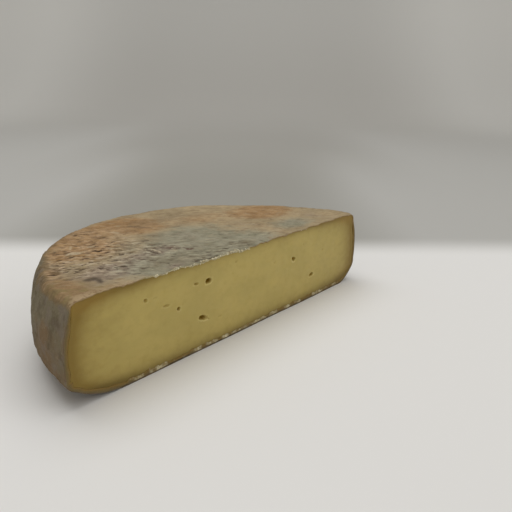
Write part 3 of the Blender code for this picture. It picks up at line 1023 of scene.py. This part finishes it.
def paste_finish():
    """Soft yellow paste: darker and browner towards the rind, partly its own browning and partly painted shade under
    the torn lip and in from the ends, a little see-through, faintly waxy.
    """
    paste = Recipe("paste")
    cloud = paste.grain((26, 26, 14), detail=3)
    mottle = paste.grain((4, 4, 3), detail=4, seed=0.07)
    fine = paste.grain((0.9, 0.9, 0.7), detail=3, seed=0.03)
    body = paste.mix(paste.step(cloud, 0.35, 0.65), tint(194, 174, 101), tint(186, 167, 96))
    body = paste.mix(paste.times(paste.step(mottle, 0.45, 0.75), 0.25), body, tint(174, 153, 83))
    near = paste.sum((paste.attribute("near"), 1.0), (mottle, 0.25))
    # The brown near the rind: partly the paste's own colour, partly painted shade.
    ripe_and_shaded = paste.mix(paste.attribute("golden"), tint(138, 113, 45), tint(146, 117, 46))
    low = paste.step(paste.distance_along((0, 0, 1)), 9 * MM, 3 * MM)
    ripe_and_shaded = paste.mix(low, ripe_and_shaded, tint(122, 101, 42))
    body = paste.mix(paste.step(near, 0.05, 1.2), body, ripe_and_shaded)
    # Painted shade inside the eyes, which also take less specular.
    body = paste.mix(paste.times(paste.attribute("eye_shade"), 0.85), body, tint(134, 100, 14))
    # Painted highlight on the lower rims of the eyes.
    body = paste.mix(paste.times(paste.attribute("eye_rim_highlight"), 0.7), body, tint(218, 203, 136))
    paste.feed(paste.shader.inputs["Base Color"], body)
    paste.shader.inputs["Roughness"].default_value = 0.5
    paste.feed(paste.shader.inputs["Specular IOR Level"], paste.sum((paste.attribute("eye_shade"), -0.3), (1.0, 0.32)))
    paste.shader.inputs["Subsurface Weight"].default_value = 0.25
    paste.shader.inputs["Subsurface Radius"].default_value = (1.0, 0.7, 0.3)
    paste.shader.inputs["Subsurface Scale"].default_value = 4 * MM
    paste.bump(paste.sum((fine, 0.5), (mottle, 0.8)), 0.12)
    return paste.material


def crumb_finish():
    """Dry crumbs of paste and pale rind."""
    crumb = Recipe("crumb")
    speck = crumb.grain((1.2, 1.2, 1.2), detail=3)
    colour = crumb.mix(crumb.step(speck, 0.35, 0.65), tint(226, 218, 186), tint(178, 160, 120))
    crumb.feed(crumb.shader.inputs["Base Color"], colour)
    crumb.shader.inputs["Roughness"].default_value = 0.7
    crumb.bump(speck, 0.2)
    return crumb.material


def board_finish():
    """Plain pale board, then a grey ground and wall, a little darker in the middle and lighter further off, higher up
    and to the sides: painted light against the lamps' falloff.
    """
    board = Recipe("board")
    ahead = board.distance_along(AWAY)
    across = board.distance_along(Vector((-AWAY.y, AWAY.x, 0)))
    height = board.distance_along((0, 0, 1))
    wide = board.times(across, across)
    start = place(CAMERA_PLACE).dot(AWAY)
    # Painted light: these tints grow with distance, height and sideways to even out how the lamps' light falls off.
    near = board.mix(board.step(wide, 0.002, 0.035), tint(151, 149, 142), tint(179, 178, 174))
    far = board.mix(board.step(wide, 0.01, 0.1), tint(165, 163, 157), tint(183, 182, 178))
    ground = board.mix(board.step(ahead, start + 0.6, start + 1.15), near, far)
    wall_foot = board.mix(board.step(wide, 0.08, 0.6), tint(194, 192, 187), tint(218, 217, 213))
    wall_head = board.mix(board.step(wide, 0.05, 0.6), tint(213, 212, 208), tint(234, 233, 229))
    wall = board.mix(board.step(height, 0.0, 0.5), wall_foot, wall_head)
    ground = board.mix(board.step(ahead, start + 1.0, start + 1.9), ground, wall)
    edge = board.sum((ahead, 1.0), (across, BOARD_SLANT))
    share = board.step(edge, start + BOARD_END - 0.026, start + BOARD_END + 0.028)
    board.feed(board.shader.inputs["Base Color"], board.mix(share, tint(230, 229, 227), ground))
    board.shader.inputs["Roughness"].default_value = 0.7
    return board.material


def make_floor():
    """The board and the ground in one sheet, which bends up to a wall far behind."""
    bm = bmesh.new()
    bmesh.ops.create_grid(bm, x_segments=1, y_segments=60, size=1)
    across = Vector((-AWAY.y, AWAY.x, 0))
    for vert in bm.verts:
        way = -3.0 + 3.6 * (vert.co.y + 1)
        flat = min(way, SWEEP_START)
        turn = min(math.pi / 2, max(0.0, way - SWEEP_START) / SWEEP_RADIUS)
        rise = max(0.0, way - SWEEP_START - SWEEP_RADIUS * math.pi / 2)
        forward = flat + SWEEP_RADIUS * math.sin(turn)
        vert.co = across * vert.co.x * 5 + AWAY * forward
        vert.co.z = SWEEP_RADIUS * (1 - math.cos(turn)) + rise
    bmesh.ops.recalc_face_normals(bm, faces=bm.faces)
    mesh = bpy.data.meshes.new("board")
    bm.to_mesh(mesh)
    bm.free()
    mesh.shade_smooth()
    floor = bpy.data.objects.new("board", mesh)
    bpy.context.scene.collection.objects.link(floor)
    floor.data.materials.append(board_finish())


def add_light(name, size, power, spot, aim):
    light = bpy.data.lights.new(name, "AREA")
    light.shape = "SQUARE"
    light.size = size
    light.energy = power
    lamp = bpy.data.objects.new(name, light)
    lamp.location = spot
    lamp.rotation_euler = (Vector(aim) - Vector(spot)).to_track_quat("-Z", "Y").to_euler()
    bpy.context.scene.collection.objects.link(lamp)
    return light


def light_scene():
    world = bpy.data.worlds.new("studio")
    world.use_nodes = True
    background = world.node_tree.nodes["Background"]
    background.inputs["Color"].default_value = tint(174, 172, 168)
    background.inputs["Strength"].default_value = 1.0
    bpy.context.scene.world = world
    add_light("overhead", 1.4, 11.5, (0.1, 0.3, 1.4), (0, 0, 0))
    add_light("front", 1.0, 2.6, (0.5, -1.1, 0.9), (0, 0, 0))
    bpy.context.scene.view_settings.view_transform = "Standard"


def add_camera():
    lens = bpy.data.cameras.new("camera")
    lens.sensor_width = SENSOR_WIDTH
    lens.lens = SENSOR_WIDTH * CAMERA_FOCUS / FRAME_PIXELS
    lens.clip_start = 0.01
    camera = bpy.data.objects.new("camera", lens)
    aim = CAMERA_AIM.to_track_quat("-Z", "Y").to_matrix().to_4x4()
    camera.matrix_world = Matrix.Translation(place(CAMERA_PLACE)) @ aim @ Matrix.Rotation(CAMERA_ROLL, 4, "Z")
    bpy.context.scene.collection.objects.link(camera)
    bpy.context.scene.camera = camera


rind_piece = make_rind(rind_finish())
paste_piece = make_paste(paste_finish())
crumbs_piece = make_crumbs(crumb_finish())
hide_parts("half_cheese")
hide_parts("half_cheese")
make_floor()
light_scene()
add_camera()
